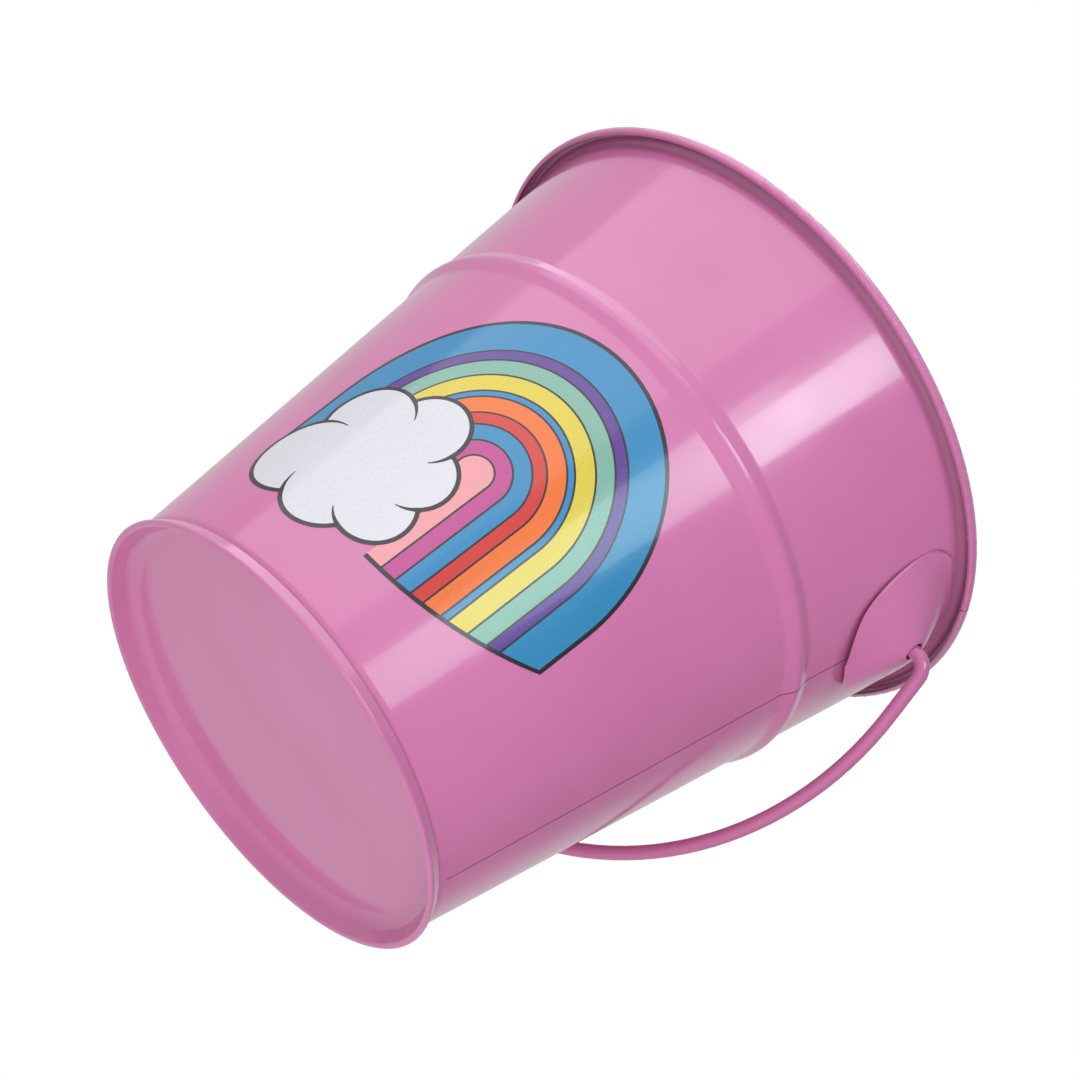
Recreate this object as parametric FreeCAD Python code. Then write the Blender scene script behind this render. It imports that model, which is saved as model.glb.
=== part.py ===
"""Painted tin sand bucket with a swinging wire handle.

Frame: millimetres, +Z up, origin at the centre of the foot plane. The ears stand on +X and -X,
the side seam runs up the wall at +X, and the printed film is on the front, which faces -Y.
The handle is drawn hanging at the back, leaning on the wall.
"""
import FreeCAD, Part
import math
import os

Vector = FreeCAD.Vector

# Driving dimensions, in mm and degrees
HEIGHT = 123.0              # foot plane to the top of the rolled rim
FOOT_RADIUS = 43.5          # outside of the wall, continued down to the foot plane
TAPER = 0.148               # growth of the wall's radius per mm of height
SHEET = 0.4                 # painted tinplate
RIM_RADIUS = 65.0           # outside of the rolled rim
RIM_TUBE = 2.3              # thickness of the rolled edge
RIM_FLARE = 1.6             # the wall flares out this far below the top of the rim
RIM_FILLET = 2.2
RIM_TOP_FILLET = 0.76       # where the flare meets the flat top
RIM_LIP = 0.75              # the edge turns in this far under the rim
RIM_LIP_FILLET = 0.45

BEAD_HEIGHT = 82.0          # height of the swaged bead
BEAD_PROUD = 1.15           # corner of the bead above the wall, before it is rounded
BEAD_HALF_WIDTH = 2.9
BEAD_FILLET = 2.2

WALL_BOTTOM = 0.75          # lower edge of the wall, held in the fold of the foot ring
WALL_SPREAD = 44.45         # radius there, to the middle of the sheet
NECK_HEIGHT = 3.0           # the wall is drawn in a little above the foot ring
NECK_RADIUS = 43.45
NECK_TOP = 4.2
NECK_FILLET = 0.6
NECK_TOP_FILLET = 1.5

PANEL_RECESS = 4.4          # underside of the base panel above the foot plane
PANEL_FILLET = 3.2
RING_TOP = 2.75             # upper edge of the foot ring
RING_RADIUS = 45.35         # lower corner of the foot ring, before it is rounded
RING_INNER_FILLET = 0.4
RING_OUTER_FILLET = 0.35
RING_GAP = 0.06             # between the foot ring and the wall

LOCK_WIDTH = 5.0            # side seam: folded layers inside the wall
LOCK_LAYERS = 2.0
LOCK_BOTTOM = 7.0
LOCK_TOP = 115.0
GROOVE_DEPTH = 0.2          # side seam: fine joint line outside the wall
GROOVE_WIDTH = 0.35
GROOVE_BOTTOM = 4.8
GROOVE_TOP = 119.8
CUT_CLEARANCE = 1.0         # cutting shapes reach this far past a surface

PIVOT_HEIGHT = 106.0        # axis of the handle
WIRE = 2.9                  # thickness of the handle wire
LEG_X = 68.8                # middle of the straight legs
LEG_LENGTH = 12.5           # pivot axis to the start of the round bow
ELBOW_RADIUS = 3.6
HEAD_RADIUS = 2.5           # upset head that keeps the wire in the ear
HEAD_THICKNESS = 1.0
HEAD_OUT = 3.4              # inner face of the head above the wall
HANG_ANGLE = 50.5           # handle at rest, below the horizontal at the back

EAR_SHEET = 0.5
EAR_HALF_WIDTH = 16.8
EAR_BOTTOM = 93.2
EAR_TOP = 119.0
EAR_TOP_HALF = 12.4         # half width of the straight upper edge
EAR_SHOULDER = 112.5        # the upper corners end and the lobe begins at this height
EAR_CORNER_POINT = (1.4, 1.9)           # middle of a corner: in from the side, down from the top
EAR_LOBE_POINTS = [(1.3, 10.4), (6.2, 2.9)]     # in from the side, up from the lower edge
EAR_DOME = 6.0              # height of the dome above the wall
EAR_HOLE_RADIUS = 2.0
EAR_TIP = 0.22              # rounding of the dome's top, as a share of its reach
EAR_REACH_UP = 15.0         # the dome meets the wall this far above the hole
EAR_REACH_DOWN = 17.5       # it would meet the wall this far below, but the edge comes first
EAR_REACH_SIDE = 18.5
EAR_CURVE = 1.25            # above 1, the dome's flank is hollow
EAR_SEAT = 0.06             # the flange stands this far off the wall
EAR_LIFT = 0.7              # its lower edge gapes this much on either side of the middle
EAR_LIFT_SIDE = 8.0         # where the gap is widest
EAR_MARGIN = 2.0            # the dome's surface is made this much larger, then trimmed
EAR_COLUMNS = 25
EAR_ROWS = 21
EAR_CUT_FROM = 50.0         # the trimming prism and the hole run along X between these
EAR_CUT_TO = 80.0

FILM = 0.1                  # thickness of the printed film
FILM_FACING = -81.0         # direction that the middle of the print faces, round the wall
FILM_SWEEP = 120.0          # the film is cut from a band of this many degrees
FILM_LOW = 8.0
FILM_MARGIN = 2.0
ARCH_HEIGHT = 42.0          # centre of the print's arch
ARCH_RADIUS = 31.5          # measured across the flat view of the print
ARCH_LEGS = 22.0            # lower ends of the arch's legs
CLOUD_PUFFS = [(-22.5, 25.0, 8.5), (-14.0, 22.5, 8.5), (-5.5, 24.5, 7.0), (-20.5, 37.0, 8.0)]

SLANT = math.cos(math.atan(TAPER))


def wall_radius(height, offset=0.0):
    """Radius of the wall's outer surface, or of a surface at a distance from it."""
    return FOOT_RADIUS + TAPER * height + offset / SLANT


# Sheet sections: a centre path of corners (radius, height, corner radius), thickened both ways

def unit(start, end):
    dx, dy = end[0] - start[0], end[1] - start[1]
    length = math.hypot(dx, dy)
    return dx / length, dy / length


def shifted(corners, shift):
    """The path moved sideways by shift, to the left of its direction."""
    moved = []
    last = len(corners) - 1
    for i, (x, y, radius) in enumerate(corners):
        before = unit(corners[max(i - 1, 0)], corners[max(i, 1)])
        after = unit(corners[min(i, last - 1)], corners[min(i + 1, last)])
        cosine = before[0] * after[0] + before[1] * after[1]
        turn = before[0] * after[1] - before[1] * after[0]
        normal = (-before[1] - after[1], before[0] + after[0])
        scale = shift / (1.0 + cosine)
        side = radius - shift if turn > 0 else radius + shift
        moved.append((x + normal[0] * scale, y + normal[1] * scale, side if radius > 0.0 else 0.0))
    return moved


def rounded(corners):
    """Straight edges and arcs through the corners, in the XZ plane."""
    edges = []
    here = corners[0][:2]
    for before, corner, after in zip(corners, corners[1:], corners[2:]):
        incoming = unit(before, corner)
        outgoing = unit(corner, after)
        turn = math.atan2(incoming[0] * outgoing[1] - incoming[1] * outgoing[0],
                          incoming[0] * outgoing[0] + incoming[1] * outgoing[1])
        reach = corner[2] * math.tan(abs(turn) / 2)
        start = (corner[0] - incoming[0] * reach, corner[1] - incoming[1] * reach)
        end = (corner[0] + outgoing[0] * reach, corner[1] + outgoing[1] * reach)
        add_line(edges, here, start)
        if reach > 1e-6:
            bulge = corner[2] / math.cos(turn / 2) - corner[2]
            inward = unit((0.0, 0.0), (outgoing[0] - incoming[0], outgoing[1] - incoming[1]))
            middle = (corner[0] + inward[0] * bulge, corner[1] + inward[1] * bulge)
            edges.append(Part.Arc(in_section(start), in_section(middle), in_section(end)).toShape())
        here = end
    add_line(edges, here, corners[-1][:2])
    return edges


def in_section(point):
    return Vector(point[0], 0, point[1])


def add_line(edges, start, end):
    if math.dist(start, end) > 1e-6:
        edges.append(Part.LineSegment(in_section(start), in_section(end)).toShape())


def sheet_section(corners, right=-SHEET / 2, left=SHEET / 2):
    """A face between two paths at the given distances from the centre path."""
    one = shifted(corners, right)
    other = shifted(corners, left)
    edges = rounded(one)
    add_line(edges, one[-1][:2], other[-1][:2])
    edges += rounded(other)
    add_line(edges, other[0][:2], one[0][:2])
    return Part.Face(Part.Wire(Part.sortEdges(edges)[0]))


def turned(face, degrees=360.0, start=0.0):
    solid = face.revolve(Vector(0, 0, 0), Vector(0, 0, 1), degrees)
    solid.rotate(Vector(0, 0, 0), Vector(0, 0, 1), start)
    return solid


# Body shell

def wall_path(bottom, top):
    """The wall's centre path with its bead, between two heights."""
    middle = -SHEET / 2
    low = BEAD_HEIGHT - BEAD_HALF_WIDTH
    high = BEAD_HEIGHT + BEAD_HALF_WIDTH
    return [
        (wall_radius(bottom, middle), bottom, 0.0),
        (wall_radius(low, middle), low, BEAD_FILLET),
        (wall_radius(BEAD_HEIGHT, middle + BEAD_PROUD), BEAD_HEIGHT, BEAD_FILLET),
        (wall_radius(high, middle), high, BEAD_FILLET),
        (wall_radius(top, middle), top, 0.0),
    ]


def foot_radius(height, offset=0.0):
    """Radius of the wall's spread foot at the middle of the sheet, or of a layer beside it."""
    slope = (NECK_RADIUS - WALL_SPREAD) / (NECK_HEIGHT - WALL_BOTTOM)
    return WALL_SPREAD + slope * (height - WALL_BOTTOM) + offset * math.hypot(1.0, slope)


def wall_foot():
    """The wall's lower end: drawn in above the foot ring, then spread outwards into its fold."""
    return [
        (WALL_SPREAD, WALL_BOTTOM, 0.0),
        (NECK_RADIUS, NECK_HEIGHT, NECK_FILLET),
        (wall_radius(NECK_TOP, -SHEET / 2), NECK_TOP, NECK_TOP_FILLET),
    ]


def rim_curl():
    """The upper edge: the wall flares out, rolls over and turns in, open underneath."""
    bend = (RIM_TUBE - SHEET) / 2
    top = HEIGHT - SHEET / 2
    outside = RIM_RADIUS - SHEET / 2
    flare = top - RIM_FLARE
    return [
        (wall_radius(flare, -SHEET / 2), flare, RIM_FILLET),
        (outside - 2 * bend, top, RIM_TOP_FILLET),
        (outside, top, bend),
        (outside, top - 2 * bend, RIM_LIP_FILLET),
        (outside - RIM_LIP, top - 2 * bend, 0.0),
    ]


def shell_path():
    return wall_foot() + wall_path(NECK_TOP, HEIGHT)[1:-1] + rim_curl()


def lock_strip():
    """The folded layers of the side seam, inside the wall."""
    path = wall_path(LOCK_BOTTOM, LOCK_TOP)
    inside = SHEET / 2
    strip = sheet_section(path, inside - 0.5 * SHEET, inside + LOCK_LAYERS * SHEET)
    degrees = math.degrees(LOCK_WIDTH / wall_radius(HEIGHT / 2))
    return turned(strip, degrees, 0.0)


def joint_groove():
    """A narrow cut along the outside of the side seam, and across the rolled rim."""
    wall = wall_path(GROOVE_BOTTOM, GROOVE_TOP)
    along = sheet_section(wall, -SHEET / 2 - CUT_CLEARANCE, -SHEET / 2 + GROOVE_DEPTH)
    across = sheet_section(rim_curl()[1:], SHEET / 2 - GROOVE_DEPTH, SHEET / 2 + CUT_CLEARANCE)
    degrees = math.degrees(GROOVE_WIDTH / wall_radius(HEIGHT / 2))
    return turned(along, degrees, -degrees / 2).fuse(turned(across, degrees, -degrees / 2))


def body_shell():
    shell = turned(sheet_section(shell_path()))
    return shell.fuse(lock_strip()).cut(joint_groove()).removeSplitter()


# Base pan

def base_pan():
    """Panel, slanting wall of the recess, and the foot ring folded round the wall's lower edge."""
    panel = PANEL_RECESS + SHEET / 2
    foot = SHEET / 2
    path = [
        (0.0, panel, 0.0),
        (foot_radius(panel, -SHEET), panel, PANEL_FILLET),
        (foot_radius(foot, -SHEET), foot, RING_INNER_FILLET),
        (RING_RADIUS, foot, RING_OUTER_FILLET),
        (foot_radius(RING_TOP, SHEET + RING_GAP), RING_TOP, 0.0),
    ]
    return turned(sheet_section(path))


# Ears

def ear_height(y, z):
    """Height of the ear's outer face above the wall: a cone with a rounded top and a soft skirt."""
    rise = z - PIVOT_HEIGHT
    reach = EAR_REACH_UP if rise > 0 else EAR_REACH_DOWN
    share = math.hypot(y / EAR_REACH_SIDE, rise / reach)
    slope = (math.hypot(share, EAR_TIP) - EAR_TIP) / (math.hypot(1.0, EAR_TIP) - EAR_TIP)
    dome = max(1.0 - slope, 0.0) ** EAR_CURVE
    droop = max(-rise, 0.0) / (PIVOT_HEIGHT - EAR_BOTTOM)
    beside = max(1.0 - (abs(y) / EAR_LIFT_SIDE - 1.0) ** 2, 0.0)
    base = EAR_SEAT + EAR_SHEET + EAR_LIFT * droop ** 2 * beside
    return base + (EAR_DOME - base) * dome


def ear_surface(depth):
    """The ear's outer face moved inwards by depth, over a rectangle larger than the ear."""
    half = EAR_HALF_WIDTH + EAR_MARGIN
    low = EAR_BOTTOM - EAR_MARGIN
    high = EAR_TOP + EAR_MARGIN
    grid = []
    for i in range(EAR_COLUMNS):
        y = -half + 2 * half * i / (EAR_COLUMNS - 1)
        line = []
        for j in range(EAR_ROWS):
            z = low + (high - low) * j / (EAR_ROWS - 1)
            radius = wall_radius(z, ear_height(y, z) - depth)
            line.append(Vector(math.sqrt(radius ** 2 - y ** 2), y, z))
        grid.append(line)
    surface = Part.BSplineSurface()
    surface.interpolate(grid)
    return surface.toShape()


def ear_outline():
    """A rounded lobe with a straight top edge and rounded upper corners, as a prism along X."""
    def at(y, z):
        return Vector(EAR_CUT_FROM, y, z)

    right = [at(EAR_HALF_WIDTH, EAR_SHOULDER)]
    right += [at(EAR_HALF_WIDTH - inset, EAR_BOTTOM + rise) for inset, rise in EAR_LOBE_POINTS]
    left = [at(-point.y, point.z) for point in reversed(right)]
    lobe = Part.BSplineCurve()
    lobe.interpolate(right + [at(0, EAR_BOTTOM)] + left)
    edges = [lobe.toShape()]
    inset, drop = EAR_CORNER_POINT
    for hand in (-1, 1):
        start = at(hand * EAR_HALF_WIDTH, EAR_SHOULDER)
        middle = at(hand * (EAR_HALF_WIDTH - inset), EAR_TOP - drop)
        edges.append(Part.Arc(start, middle, at(hand * EAR_TOP_HALF, EAR_TOP)).toShape())
    edges.append(Part.LineSegment(at(-EAR_TOP_HALF, EAR_TOP), at(EAR_TOP_HALF, EAR_TOP)).toShape())
    face = Part.Face(Part.Wire(Part.sortEdges(edges)[0]))
    return face.extrude(Vector(EAR_CUT_TO - EAR_CUT_FROM, 0, 0))


def ear():
    outer = ear_surface(0.0)
    inner = ear_surface(EAR_SHEET)
    faces = [outer, inner]
    for one, other in zip(outer.Edges, inner.Edges):
        faces.append(Part.makeRuledSurface(one, other))
    slab = Part.makeSolid(Part.makeShell(faces))
    centre = Vector(EAR_CUT_FROM, 0, PIVOT_HEIGHT)
    hole = Part.makeCylinder(EAR_HOLE_RADIUS, EAR_CUT_TO - EAR_CUT_FROM, centre, Vector(1, 0, 0))
    return slab.common(ear_outline()).cut(hole)


def mirrored_in_x(shape):
    return shape.rotated(Vector(0, 0, 0), Vector(0, 0, 1), 180)


# Handle

def bail_wire():
    """One wire: head, elbow, straight leg, round bow, and the same again on the other side."""
    head_x = wall_radius(PIVOT_HEIGHT) + HEAD_OUT
    elbow = math.sqrt(0.5) * ELBOW_RADIUS

    def at(x, out):
        return Vector(x, out, 0)

    def line(start, end):
        return Part.LineSegment(start, end).toShape()

    def arc(start, middle, end):
        return Part.Arc(start, middle, end).toShape()

    edges = []
    for hand in (1, -1):
        turn = at(hand * (LEG_X - ELBOW_RADIUS), 0)
        leg = at(hand * LEG_X, ELBOW_RADIUS)
        corner = at(hand * (LEG_X - ELBOW_RADIUS + elbow), ELBOW_RADIUS - elbow)
        edges.append(line(at(hand * head_x, 0), turn))
        edges.append(arc(turn, corner, leg))
        edges.append(line(leg, at(hand * LEG_X, LEG_LENGTH)))
    bow = arc(at(LEG_X, LEG_LENGTH), at(0, LEG_LENGTH + LEG_X), at(-LEG_X, LEG_LENGTH))
    edges.append(bow)
    path = Part.Wire(Part.sortEdges(edges)[0])
    section = Part.Wire(Part.makeCircle(WIRE / 2, path.Vertexes[0].Point, Vector(1, 0, 0)))
    wire = path.makePipeShell([section], True, False)
    for hand in (1, -1):
        head = Part.makeCylinder(HEAD_RADIUS, HEAD_THICKNESS, at(hand * head_x, 0), Vector(hand, 0, 0))
        wire = wire.fuse(head)
    wire = wire.removeSplitter()
    wire.rotate(Vector(0, 0, 0), Vector(1, 0, 0), -HANG_ANGLE)
    wire.translate(Vector(0, 0, PIVOT_HEIGHT))
    return wire


# Printed film: an arch that springs from a cloud, on the front of the wall

def print_film():
    """A thin layer of the wall's cone, cut to the outline of the arch and the cloud."""
    high = ARCH_HEIGHT + ARCH_RADIUS + FILM_MARGIN
    path = [(wall_radius(FILM_LOW, FILM / 2), FILM_LOW, 0.0), (wall_radius(high, FILM / 2), high, 0.0)]
    layer = turned(sheet_section(path, -FILM / 2, FILM / 2), FILM_SWEEP, FILM_FACING - FILM_SWEEP / 2)
    reach = RIM_RADIUS

    def disc(sideways, height, radius):
        return Part.makeCylinder(radius, reach, Vector(0, sideways, height), Vector(1, 0, 0))

    corner = Vector(0, -ARCH_RADIUS, ARCH_LEGS)
    legs = Part.makeBox(reach, 2 * ARCH_RADIUS, ARCH_HEIGHT - ARCH_LEGS, corner)
    outline = legs.multiFuse([disc(0, ARCH_HEIGHT, ARCH_RADIUS)] + [disc(*puff) for puff in CLOUD_PUFFS])
    outline.rotate(Vector(0, 0, 0), Vector(0, 0, 1), FILM_FACING)
    return layer.common(outline).removeSplitter()


def main():
    os.makedirs("parts", exist_ok=True)
    right = ear()
    nodes = {
        "body_shell": body_shell(),
        "base_pan": base_pan(),
        "ear_right": right,
        "ear_left": mirrored_in_x(right),
        "bail_wire": bail_wire(),
        "print_film": print_film(),
    }
    for name, shape in nodes.items():
        shape.exportStep(f"parts/{name}.step")
        print(name, "solids", len(shape.Solids), "valid", shape.isValid(), "volume", round(shape.Volume))


main()
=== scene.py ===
"""Painted tin sand bucket: materials, printed picture, floor, lights and camera.

Units are metres. +Z is up, the print faces -Y, and the ears are on +X and -X.
"""

import math

import bmesh
import bpy
from mathutils import Matrix, Vector


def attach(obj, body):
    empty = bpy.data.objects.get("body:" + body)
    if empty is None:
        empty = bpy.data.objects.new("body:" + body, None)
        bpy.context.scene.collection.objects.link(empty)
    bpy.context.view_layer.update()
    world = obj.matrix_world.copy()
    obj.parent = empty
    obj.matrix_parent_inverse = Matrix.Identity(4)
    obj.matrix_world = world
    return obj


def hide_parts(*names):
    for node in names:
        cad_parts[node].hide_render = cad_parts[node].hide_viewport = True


MM = 0.001

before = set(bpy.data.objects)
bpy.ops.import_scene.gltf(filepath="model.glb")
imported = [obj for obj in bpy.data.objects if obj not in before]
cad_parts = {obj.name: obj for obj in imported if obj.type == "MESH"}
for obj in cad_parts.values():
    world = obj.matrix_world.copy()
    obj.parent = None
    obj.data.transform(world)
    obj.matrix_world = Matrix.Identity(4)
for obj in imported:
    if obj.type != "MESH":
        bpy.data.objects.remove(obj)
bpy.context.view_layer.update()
scene = bpy.context.scene


# Camera: below the foot, looking up, and tilted on its side

CAMERA_AZIMUTH = 30.17      # degrees round the bucket from the printed front
CAMERA_ELEVATION = -29.40
CAMERA_ROLL = 55.55
CAMERA_DISTANCE = 503.2 * MM
CAMERA_AIM = Vector((0.8, -4.2, 68.7)) * MM
CAMERA_LENS = 87.31         # mm, as the sensor's width
CAMERA_SENSOR = 36.0
CAMERA_NEAR = 0.01


def direction(azimuth, elevation):
    """Unit vector; azimuth in degrees from the printed front (-Y) towards +X."""
    turn = math.radians(azimuth)
    rise = math.radians(elevation)
    return Vector((math.sin(turn) * math.cos(rise), -math.cos(turn) * math.cos(rise), math.sin(rise)))


def add_camera():
    towards = direction(CAMERA_AZIMUTH, CAMERA_ELEVATION)
    data = bpy.data.cameras.new("camera")
    data.lens = CAMERA_LENS
    data.sensor_width = CAMERA_SENSOR
    data.clip_start = CAMERA_NEAR
    camera = bpy.data.objects.new("camera", data)
    level = towards.to_track_quat("Z", "Y").to_matrix().to_4x4()
    roll = Matrix.Rotation(math.radians(CAMERA_ROLL), 4, "Z")
    camera.matrix_world = Matrix.Translation(CAMERA_AIM + towards * CAMERA_DISTANCE) @ level @ roll
    scene.collection.objects.link(camera)
    scene.camera = camera


# Studio: a plain pale floor seen from above only and fading outwards, soft lights and a pale surround

WHITE = (1.0, 1.0, 1.0)
WINDOW_TINT = (0.80, 1.0, 1.0)
BUCKET_MIDDLE = (0, 0, 60)          # mm
STRIP_TARGET = (34, -44, 60)        # mm; the part of the wall that mirrors the window
LAMP_DISTANCE = 0.7


def softbox(name, azimuth, elevation, size, power, distance=LAMP_DISTANCE, target=BUCKET_MIDDLE, tint=WHITE,
            mirrored=True):
    """A rectangular lamp of size (width, height) in metres and power in watts, aimed at a point in mm."""
    data = bpy.data.lights.new(name, "AREA")
    data.shape = "RECTANGLE"
    data.size, data.size_y = size
    data.energy = power
    data.color = tint
    lamp = bpy.data.objects.new(name, data)
    lamp.visible_glossy = mirrored
    towards = direction(azimuth, elevation)
    level = towards.to_track_quat("Z", "Y").to_matrix().to_4x4()
    lamp.matrix_world = Matrix.Translation(Vector(target) * MM + towards * distance) @ level
    scene.collection.objects.link(lamp)


def add_lights():
    """A window in two panes, mirrored by the wall, between broad and softer lamps."""
    softbox("strip_tall", azimuth=39.5, elevation=11.5, size=(0.29, 0.26), power=0.82,
            target=STRIP_TARGET, tint=WINDOW_TINT)
    softbox("strip_bright", azimuth=42.5, elevation=23.7, size=(0.20, 0.105), power=0.45,
            target=STRIP_TARGET, tint=WINDOW_TINT)
    softbox("key", azimuth=-25, elevation=20, size=(1.5, 1.1), power=5.0, distance=1.1)
    softbox("fill", azimuth=40, elevation=-45, size=(0.8, 0.8), power=3.0,
            distance=1.0, mirrored=False)
    softbox("fill_right", azimuth=100, elevation=-30, size=(0.8, 0.8), power=3.2,
            distance=1.0, mirrored=False)
    softbox("top", azimuth=-60, elevation=65, size=(0.9, 0.9), power=3.0, distance=1.0)


def smooth_step(nodes, low, high, to_low, to_high):
    """A node that eases from one value to another while its input goes from low to high."""
    node = nodes.new("ShaderNodeMapRange")
    node.interpolation_type = "SMOOTHSTEP"
    node.inputs["From Min"].default_value = low
    node.inputs["From Max"].default_value = high
    node.inputs["To Min"].default_value = to_low
    node.inputs["To Max"].default_value = to_high
    return node


WORLD_LIGHT = 0.62
WORLD_DARK = 0.12
DARK_SIDE = direction(100, 15)      # a darker part of the room, seen in the paint's right side
DARK_BEGINS = 0.30                  # cosines of the angle from that side
DARK_FULL = 0.75


def add_world():
    """White where the camera sees it; as light and in reflections, pale with one darker side."""
    world = bpy.data.worlds.new("studio")
    world.use_nodes = True
    nodes = world.node_tree.nodes
    links = world.node_tree.links
    place = nodes.new("ShaderNodeTexCoord")
    towards = nodes.new("ShaderNodeVectorMath")
    towards.operation = "DOT_PRODUCT"
    towards.inputs[1].default_value = DARK_SIDE
    room = smooth_step(nodes, DARK_BEGINS, DARK_FULL, WORLD_LIGHT, WORLD_DARK)
    path = nodes.new("ShaderNodeLightPath")
    level = nodes.new("ShaderNodeMath")
    level.operation = "MAXIMUM"
    links.new(place.outputs["Generated"], towards.inputs[0])
    links.new(towards.outputs["Value"], room.inputs["Value"])
    links.new(room.outputs["Result"], level.inputs[0])
    links.new(path.outputs["Is Camera Ray"], level.inputs[1])
    links.new(level.outputs["Value"], nodes["Background"].inputs["Strength"])
    nodes["Background"].inputs["Color"].default_value = (*WHITE, 1)
    scene.world = world
    scene.view_settings.view_transform = "Standard"


FLOOR_COLOUR = (0.88, 0.88, 0.87)
FLOOR_ROUGHNESS = 0.6
FLOOR_REACH = 3.0           # metres, from the middle to each side
FLOOR_SOLID = 0.30          # metres from the bucket; from here out the floor fades into the surround
FLOOR_GONE = 0.95


def add_floor():
    """A square floor, seen by the camera only from above; other rays pass through it."""
    mesh = bpy.data.meshes.new("floor")
    turns = [(-1, -1), (1, -1), (1, 1), (-1, 1)]
    corners = [(x * FLOOR_REACH, y * FLOOR_REACH, 0) for x, y in turns]
    mesh.from_pydata(corners, [], [(0, 1, 2, 3)])
    floor = bpy.data.objects.new("floor", mesh)
    scene.collection.objects.link(floor)
    material = bpy.data.materials.new("floor")
    material.use_nodes = True
    nodes = material.node_tree.nodes
    links = material.node_tree.links
    shader = nodes["Principled BSDF"]
    shader.inputs["Base Color"].default_value = (*FLOOR_COLOUR, 1)
    shader.inputs["Roughness"].default_value = FLOOR_ROUGHNESS
    geometry = nodes.new("ShaderNodeNewGeometry")
    path = nodes.new("ShaderNodeLightPath")
    seen = nodes.new("ShaderNodeMath")
    seen.operation = "SUBTRACT"
    seen.use_clamp = True
    place = nodes.new("ShaderNodeTexCoord")
    away = nodes.new("ShaderNodeVectorMath")
    away.operation = "LENGTH"
    fade = smooth_step(nodes, FLOOR_SOLID, FLOOR_GONE, 1.0, 0.0)
    shown = nodes.new("ShaderNodeMath")
    shown.operation = "MULTIPLY"
    clear = nodes.new("ShaderNodeBsdfTransparent")
    mix = nodes.new("ShaderNodeMixShader")
    links.new(path.outputs["Is Camera Ray"], seen.inputs[0])
    links.new(geometry.outputs["Backfacing"], seen.inputs[1])
    links.new(place.outputs["Object"], away.inputs[0])
    links.new(away.outputs["Value"], fade.inputs["Value"])
    links.new(seen.outputs[0], shown.inputs[0])
    links.new(fade.outputs["Result"], shown.inputs[1])
    links.new(shown.outputs[0], mix.inputs[0])
    links.new(clear.outputs[0], mix.inputs[1])
    links.new(shader.outputs[0], mix.inputs[2])
    links.new(mix.outputs[0], nodes["Material Output"].inputs["Surface"])
    mesh.materials.append(material)


# Materials

PINK = (0.640, 0.195, 0.413)
PINK_DEEP = (0.610, 0.175, 0.383)
# painted shade: the handle's pink is set darker than the body's to stand for shade on the wire
PINK_WIRE_SHADED = (0.540, 0.150, 0.330)
PINK_WIRE_SHADED_DEEP = (0.510, 0.135, 0.305)
RUBBED = (0.575, 0.170, 0.355)      # enamel rubbed thin
CREVICE_SHADE = (0.200, 0.050, 0.110)     # painted shade in folds and under the rim
CREVICE_REACH = 3.0 * MM
CREVICE_OPEN = (0.05, 0.85)         # openness at which the painted shade is full, and gone
COAT_WEIGHT = 0.35
COAT_ROUGHNESS = 0.06

TONE_NOISE = (26.0, 3.0)            # noises are (scale per metre, detail)
TONE_RANGE = (0.30, 0.62)
SHEEN_NOISE = (55.0, 4.0)
SHEEN_RANGE = (0.35, 0.70)
SCUFF_NOISE = (110.0, 4.0)
SCUFF_RANGE = (0.46, 0.74)
SCUFF_ROUGHNESS = 0.14              # added where the paint is scuffed
DENT_SCALE = 22.0
CREASE_SCALE = 100.0                # finer dents, in the ears
DENT_DETAIL = 1.5
DENT_DEPTH = 66.0 * MM              # divided by the scale
PEEL_NOISE = (620.0, 2.0)
PEEL_DEPTH = 0.05 * MM
GRAIN_NOISE = (2600.0, 1.0)
GRAIN_RANGE = (0.35, 0.75)
INK_DEEP = 0.92                     # factors on an ink's colour, in its drift and its grain
INK_LIGHT = 1.06
INK_LIFT = 0.004

WALL_TAPER = 0.148                  # growth of the wall's radius per height
SHEET_RADIUS = 43.3 * MM            # middle of the wall's sheet, continued down to the foot plane
SHEET_FADE = 0.05 * MM              # to each side of its middle, where inside turns to outside
FLARE_START = Vector((61.36, 121.2)) * MM       # radius and height
FLARE_SLOPE = 0.9625                # growth of the radius per height, from there to the rim's top
LIP_RADIUS = 64.6 * MM
LIP_FADE = 0.1 * MM
CHANNEL_BOTTOM = (119.9 * MM, 120.9 * MM)       # heights between which it fades in, and out
CHANNEL_TOP = (122.65 * MM, 122.75 * MM)
CHANNEL_SHADE = 2.6                 # the channel takes one part in this many of the painted shade colour
FOOT_WEAR = (0.1 * MM, 1.6 * MM)    # heights between which the foot's wear fades out
RIM_WEAR = (122.7 * MM, 123.0 * MM)
INKS = {
    "blue": (0.036, 0.240, 0.480),
    "purple": (0.115, 0.048, 0.285),
    "sage": (0.215, 0.430, 0.350),
    "yellow": (0.700, 0.560, 0.060),
    "orange": (0.830, 0.170, 0.035),
    "red": (0.610, 0.045, 0.038),
    "magenta": (0.500, 0.065, 0.270),
    "salmon": (0.800, 0.320, 0.350),
    "white": (0.680, 0.665, 0.725),
    "outline": (0.030, 0.022, 0.032),
}


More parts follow.
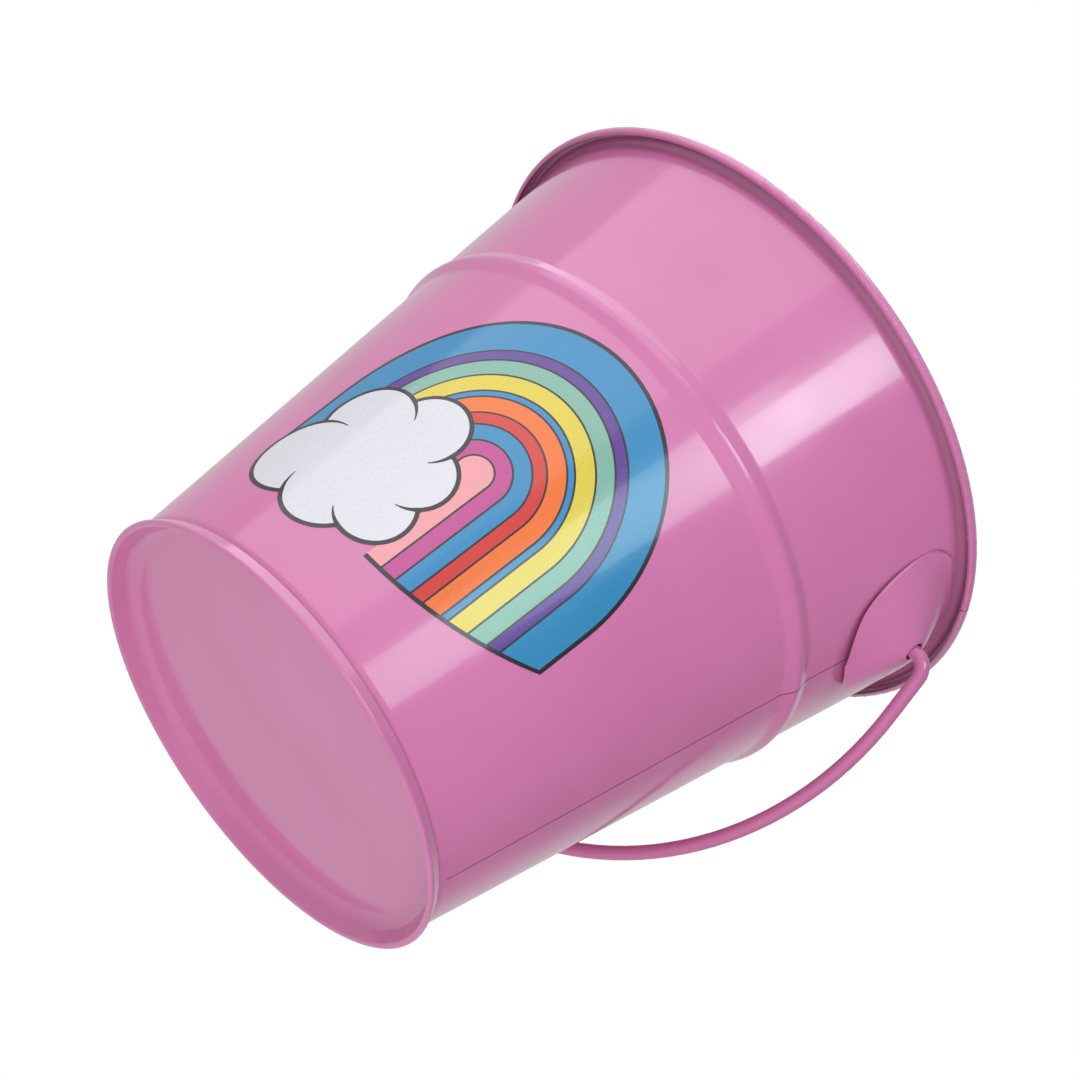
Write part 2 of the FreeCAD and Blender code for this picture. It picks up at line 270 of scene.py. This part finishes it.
class Painted:
    """A glossy paint or ink: tone that drifts, orange peel, faint dents and scuffs."""

    def __init__(self, name, colour, deep):
        self.material = bpy.data.materials.new(name)
        self.material.use_nodes = True
        self.nodes = self.material.node_tree.nodes
        self.links = self.material.node_tree.links
        self.shader = self.nodes["Principled BSDF"]
        self.place = self.nodes.new("ShaderNodeTexCoord").outputs["Object"]
        self.tone = self.mix(self.noise(*TONE_NOISE), deep, colour, *TONE_RANGE)
        self.links.new(self.tone, self.shader.inputs["Base Color"])

    def noise(self, scale, detail):
        node = self.nodes.new("ShaderNodeTexNoise")
        node.inputs["Scale"].default_value = scale
        node.inputs["Detail"].default_value = detail
        self.links.new(self.place, node.inputs["Vector"])
        return node.outputs["Fac"]

    def ramp(self, value, low, high, to_low=0.0, to_high=1.0):
        node = self.nodes.new("ShaderNodeMapRange")
        node.inputs["From Min"].default_value = low
        node.inputs["From Max"].default_value = high
        node.inputs["To Min"].default_value = to_low
        node.inputs["To Max"].default_value = to_high
        self.links.new(value, node.inputs["Value"])
        return node.outputs["Result"]

    def mix(self, value, first, second, low=0.0, high=1.0):
        node = self.nodes.new("ShaderNodeMix")
        node.data_type = "RGBA"
        self.links.new(self.ramp(value, low, high), node.inputs["Factor"])
        for colour, socket in ((first, node.inputs["A"]), (second, node.inputs["B"])):
            if isinstance(colour, tuple):
                socket.default_value = (*colour, 1)
            else:
                self.links.new(colour, socket)
        return node.outputs["Result"]

    def bump(self, height, distance, strength, normal=None):
        node = self.nodes.new("ShaderNodeBump")
        node.inputs["Distance"].default_value = distance
        node.inputs["Strength"].default_value = strength
        self.links.new(height, node.inputs["Height"])
        if normal:
            self.links.new(normal, node.inputs["Normal"])
        return node.outputs["Normal"]

    def math(self, operation, first, second):
        node = self.nodes.new("ShaderNodeMath")
        node.operation = operation
        self.links.new(first, node.inputs[0])
        self.links.new(second, node.inputs[1])
        return node.outputs["Value"]

    def radius_and_height(self):
        """Distance from the bucket's axis, and height above the foot plane."""
        split = self.nodes.new("ShaderNodeSeparateXYZ")
        self.links.new(self.place, split.inputs["Vector"])
        level = self.nodes.new("ShaderNodeVectorMath")
        level.operation = "MULTIPLY"
        level.inputs[1].default_value = (1, 1, 0)
        self.links.new(self.place, level.inputs[0])
        length = self.nodes.new("ShaderNodeVectorMath")
        length.operation = "LENGTH"
        self.links.new(level.outputs["Vector"], length.inputs[0])
        return length.outputs["Value"], split.outputs["Z"]

    def paint_crevice_shade(self):
        """Painted shade: darker where the same piece faces itself closely, in the seam's joint and under
        the rim.
        """
        node = self.nodes.new("ShaderNodeAmbientOcclusion")
        node.only_local = True
        node.inputs["Distance"].default_value = CREVICE_REACH
        # painted shade mixed into the paint's colour where the occlusion node finds the piece close round
        # itself
        self.tone = self.mix(node.outputs["AO"], CREVICE_SHADE, self.tone, *CREVICE_OPEN)
        self.links.new(self.tone, self.shader.inputs["Base Color"])

    def finish(self, rough_low, rough_high, dents, peel, scuffs=None, dent_scale=DENT_SCALE):
        """Roughness between two values, bumps of two strengths and a clear coat."""
        roughness = self.ramp(self.noise(*SHEEN_NOISE), *SHEEN_RANGE, rough_low, rough_high)
        if scuffs:
            roughness = self.math("ADD", roughness, self.ramp(scuffs, 0.0, 1.0, 0.0, SCUFF_ROUGHNESS))
        self.links.new(roughness, self.shader.inputs["Roughness"])
        normal = self.bump(self.noise(dent_scale, DENT_DETAIL), DENT_DEPTH / dent_scale, dents)
        normal = self.bump(self.noise(*PEEL_NOISE), PEEL_DEPTH, peel, normal)
        self.links.new(normal, self.shader.inputs["Normal"])
        self.shader.inputs["Coat Weight"].default_value = COAT_WEIGHT
        self.shader.inputs["Coat Roughness"].default_value = COAT_ROUGHNESS
        return self.material


def section_line(paint, height, radius, slope, start):
    """The radius, at each height, of a line that is straight in the section; start is radius's height."""
    reach = 10.0 * MM
    ramp = paint.nodes.new("ShaderNodeMapRange")
    ramp.clamp = False
    ramp.inputs["From Min"].default_value = start
    ramp.inputs["From Max"].default_value = start + reach
    ramp.inputs["To Min"].default_value = radius
    ramp.inputs["To Max"].default_value = radius + slope * reach
    paint.links.new(height, ramp.inputs["Value"])
    return ramp.outputs["Result"]


def rim_channel(paint, radius, height):
    """One inside the open roll of the rim, outside the wall; nought elsewhere."""
    wall = section_line(paint, height, SHEET_RADIUS, WALL_TAPER, 0.0)
    flare = section_line(paint, height, FLARE_START.x, FLARE_SLOPE, FLARE_START.y)
    sheet = paint.math("MAXIMUM", wall, flare)
    outside = paint.ramp(paint.math("SUBTRACT", radius, sheet), -SHEET_FADE, SHEET_FADE)
    inside_lip = paint.ramp(radius, LIP_RADIUS - LIP_FADE, LIP_RADIUS, 1.0, 0.0)
    above = paint.ramp(height, *CHANNEL_BOTTOM)
    below_top = paint.ramp(height, *CHANNEL_TOP, 1.0, 0.0)
    across = paint.math("MULTIPLY", outside, inside_lip)
    return paint.math("MULTIPLY", across, paint.math("MULTIPLY", above, below_top))


def body_enamel():
    """Pink stoving enamel: painted shade in the rim's channel, where it is also dull; rubbed on the foot's
    edge and the rim.
    """
    paint = Painted("body_enamel", PINK, PINK_DEEP)
    paint.paint_crevice_shade()
    radius, height = paint.radius_and_height()
    channel = rim_channel(paint, radius, height)
    foot = paint.ramp(height, *FOOT_WEAR, 1.0, 0.0)
    rim = paint.ramp(height, *RIM_WEAR)
    edges = paint.math("ADD", foot, rim)
    scuffs = paint.math("MULTIPLY", edges, paint.ramp(paint.noise(*SCUFF_NOISE), *SCUFF_RANGE))
    rubbed = paint.mix(scuffs, paint.tone, RUBBED)
    # painted shade inside the rim's open roll, under its lip
    shaded = paint.mix(channel, rubbed, CREVICE_SHADE, 0.0, CHANNEL_SHADE)
    paint.links.new(shaded, paint.shader.inputs["Base Color"])
    dull = paint.math("ADD", scuffs, channel)
    return paint.finish(rough_low=0.14, rough_high=0.22, dents=0.08, peel=0.10, scuffs=dull)


def ear_enamel():
    """The same enamel over ears that were creased a little when they were pressed."""
    paint = Painted("ear_enamel", PINK, PINK_DEEP)
    return paint.finish(rough_low=0.17, rough_high=0.25, dents=0.35, peel=0.10, dent_scale=CREASE_SCALE)


def wire_enamel():
    """The handle's enamel with painted shade: its pink is set darker than the body's."""
    paint = Painted("wire_enamel", PINK_WIRE_SHADED, PINK_WIRE_SHADED_DEEP)
    return paint.finish(rough_low=0.15, rough_high=0.24, dents=0.05, peel=0.10)


def ink(name, colour):
    """Transfer ink with a fine printed grain."""
    deep = tuple(channel * INK_DEEP for channel in colour)
    paint = Painted(name, colour, deep)
    light = tuple(min(1.0, channel * INK_LIGHT + INK_LIFT) for channel in colour)
    grain = paint.mix(paint.noise(*GRAIN_NOISE), paint.tone, light, *GRAIN_RANGE)
    paint.links.new(grain, paint.shader.inputs["Base Color"])
    return paint.finish(rough_low=0.17, rough_high=0.26, dents=0.05, peel=0.08)


# Printed picture: an arch of colour bands that springs from a cloud, laid on the wall's cone

PAINT_RADIUS = 43.5         # mm; the wall's outer face, continued down to the foot plane
PRINT_FACING = -81.0        # degrees from +X to the middle of the print
ARCH_MIDDLE = 0.5           # sideways, mm
ARCH_HEIGHT = 41.5          # where the arch's round top begins
ARCH_LEFT_END = 26.0        # the left leg ends inside the cloud
ARCH_RIGHT_END = 17.5       # the right leg ends lower, and rises with the square of the way out
ARCH_RIGHT_RISE = 0.011
BANDS = [                   # colour, outer radius in mm; each band reaches in to the next
    ("blue", 34.5),
    ("purple", 27.4),
    ("sage", 25.0),
    ("yellow", 21.4),
    ("blue", 17.6),
    ("orange", 16.2),
    ("red", 12.6),
    ("blue", 10.0),
    ("magenta", 6.6),
    ("salmon", 3.4),
]
LINE = 0.38                 # thin dark line between bands
OUTLINE = 0.85              # dark line round the whole shape
STEP = 1.0                  # widest row of facets in a band
LEG_STEPS = 16
TURN_STEPS = 60
CLOUD_MIDDLE = (-16.0, 31.0)
CLOUD = [                   # puffs: sideways, height, radius
    (-16.0, 31.0, 12.0),
    (-25.5, 25.0, 9.0),
    (-22.5, 37.5, 8.0),
    (-12.0, 42.0, 7.2),
    (-5.5, 34.0, 6.6),
    (-5.5, 24.5, 6.8),
    (-14.5, 21.8, 8.0),
]
CLOUD_RINGS = 24
CLOUD_SPOKES = 240
CURL_SWEEP = 34.0           # degrees of a puff's edge drawn into the cloud
CURL_STEPS = 14
CURL_THINNING = 0.8         # part of the stroke's width lost at its tip
WELD = 1e-7                 # metres
LAYERS = {"backing": 0.020, "bands": 0.036, "cloud_line": 0.052, "cloud": 0.068, "curls": 0.084}


def wall_radius(height):
    return PAINT_RADIUS + WALL_TAPER * height


def on_wall(sideways, height, proud):
    """A point of the picture, measured along the wall in mm, at a height above its paint."""
    turn = math.radians(PRINT_FACING) + sideways / wall_radius(height)
    radius = wall_radius(height) + proud
    return Vector((radius * math.cos(turn), radius * math.sin(turn), height)) * MM


def grid_piece(name, rows, proud, slot, closed=False):
    """A patch of the wall from rows of (sideways, height) points, as one smooth sheet."""
    mesh = bmesh.new()
    made = [[mesh.verts.new(on_wall(u, h, proud)) for u, h in row] for row in rows]
    for row, following in zip(made, made[1:]):
        count = len(row)
        for i in range(count if closed else count - 1):
            j = (i + 1) % count
            mesh.faces.new((row[i], row[j], following[j], following[i]))
    bmesh.ops.remove_doubles(mesh, verts=mesh.verts, dist=WELD)
    for face in mesh.faces:
        face.smooth = True
        face.normal_update()
    bmesh.ops.recalc_face_normals(mesh, faces=mesh.faces)
    middle = next(iter(mesh.faces))
    outward = middle.calc_center_median()
    if middle.normal.x * outward.x + middle.normal.y * outward.y < 0:
        bmesh.ops.reverse_faces(mesh, faces=mesh.faces)
    data = bpy.data.meshes.new(name)
    mesh.to_mesh(data)
    mesh.free()
    data.materials.append(ink_materials[slot])
    piece = bpy.data.objects.new(name, data)
    scene.collection.objects.link(piece)
    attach(piece, "bucket")
    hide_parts("print_film")


def right_end(sideways):
    """Height of the right leg's lower end, which rises a little towards the outside."""
    return ARCH_RIGHT_END + ARCH_RIGHT_RISE * sideways ** 2


def arch_line(radius, extra=0.0):
    """Points along one line of the arch, from the left leg's end to the right leg's end."""
    left = ARCH_MIDDLE - radius
    right = ARCH_MIDDLE + radius
    leg_step = (ARCH_HEIGHT - ARCH_LEFT_END) / LEG_STEPS
    points = [(left, ARCH_LEFT_END + leg_step * i) for i in range(LEG_STEPS)]
    for i in range(TURN_STEPS + 1):
        turn = math.pi * (1 - i / TURN_STEPS)
        points.append((ARCH_MIDDLE + radius * math.cos(turn), ARCH_HEIGHT + radius * math.sin(turn)))
    end = right_end(right) - extra
    points += [(right, ARCH_HEIGHT + (end - ARCH_HEIGHT) * i / LEG_STEPS) for i in range(1, LEG_STEPS + 1)]
    return points


def arch_piece(name, inner, outer, proud, slot, extra=0.0):
    """One band of the arch between two radii."""
    count = max(1, math.ceil((outer - inner) / STEP))
    rows = [arch_line(inner + (outer - inner) * i / count, extra) for i in range(count + 1)]
    grid_piece(name, rows, LAYERS[proud], slot)


def add_arch():
    arch_piece("print_backing", 0.0, BANDS[0][1] + OUTLINE, "backing", "outline", OUTLINE)
    inner_edges = [outer + LINE for colour, outer in BANDS[1:]] + [0.0]
    for i, ((colour, outer), inner) in enumerate(zip(BANDS, inner_edges)):
        arch_piece(f"print_band_{i + 1}_{colour}", inner, outer, "bands", colour)


def cloud_reach(turn, grow):
    """How far the cloud reaches from its middle in one direction."""
    ux, uy = math.cos(turn), math.sin(turn)
    reach = 0.0
    for x, y, radius in CLOUD:
        dx, dy = x - CLOUD_MIDDLE[0], y - CLOUD_MIDDLE[1]
        along = dx * ux + dy * uy
        aside = dx * uy - dy * ux
        inside = (radius + grow) ** 2 - aside ** 2
        if inside > 0:
            reach = max(reach, along + math.sqrt(inside))
    return reach


def cloud_piece(name, grow, proud, slot):
    """The whole cloud, grown outwards by a margin in mm."""
    rows = []
    for ring in range(1, CLOUD_RINGS + 1):
        row = []
        for spoke in range(CLOUD_SPOKES):
            turn = 2 * math.pi * spoke / CLOUD_SPOKES
            reach = cloud_reach(turn, grow) * ring / CLOUD_RINGS
            row.append((CLOUD_MIDDLE[0] + reach * math.cos(turn), CLOUD_MIDDLE[1] + reach * math.sin(turn)))
        rows.append(row)
    centre = [CLOUD_MIDDLE] * CLOUD_SPOKES
    grid_piece(name, [centre] + rows, LAYERS[proud], slot, closed=True)


def curl_piece(name, puff, neighbour):
    """A short tapering stroke that carries the edge of a puff on into its neighbour."""
    x, y, radius = puff
    ring = radius + OUTLINE / 2
    other = neighbour[2] + OUTLINE / 2
    dx, dy = neighbour[0] - x, neighbour[1] - y
    apart = math.hypot(dx, dy)
    towards = math.atan2(dy, dx)
    aside = math.acos((apart ** 2 + ring ** 2 - other ** 2) / (2 * apart * ring))

    def from_middle(hand):
        turn = towards + hand * aside
        return math.dist((x + ring * math.cos(turn), y + ring * math.sin(turn)), CLOUD_MIDDLE)

    hand = max((-1, 1), key=from_middle)
    rows = []
    for side in (-1, 1):
        row = []
        for i in range(CURL_STEPS + 1):
            turn = towards + hand * (aside - math.radians(CURL_SWEEP) * i / CURL_STEPS)
            reach = ring + side * OUTLINE / 2 * (1 - CURL_THINNING * i / CURL_STEPS)
            row.append((x + reach * math.cos(turn), y + reach * math.sin(turn)))
        rows.append(row)
    grid_piece(name, rows, LAYERS["curls"], "outline")


def add_cloud():
    cloud_piece("print_cloud_line", OUTLINE, "cloud_line", "outline")
    cloud_piece("print_cloud", 0.0, "cloud", "white")
    round_the_edge = CLOUD[1:]
    for i, puff in enumerate(round_the_edge):
        neighbour = round_the_edge[(i + 1) % len(round_the_edge)]
        curl_piece(f"print_curl_{i + 1}", puff, neighbour)


add_camera()
add_lights()
add_world()
add_floor()

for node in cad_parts.values():
    node.data.materials.clear()
body_paint = body_enamel()
ear_paint = ear_enamel()
for name in ("body_shell", "base_pan"):
    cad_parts[name].data.materials.append(body_paint)
for name in ("ear_right", "ear_left"):
    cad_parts[name].data.materials.append(ear_paint)
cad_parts["bail_wire"].data.materials.append(wire_enamel())

ink_materials = {name: ink(f"ink_{name}", colour) for name, colour in INKS.items()}
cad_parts["print_film"].data.materials.append(ink_materials["white"])
add_arch()
add_cloud()
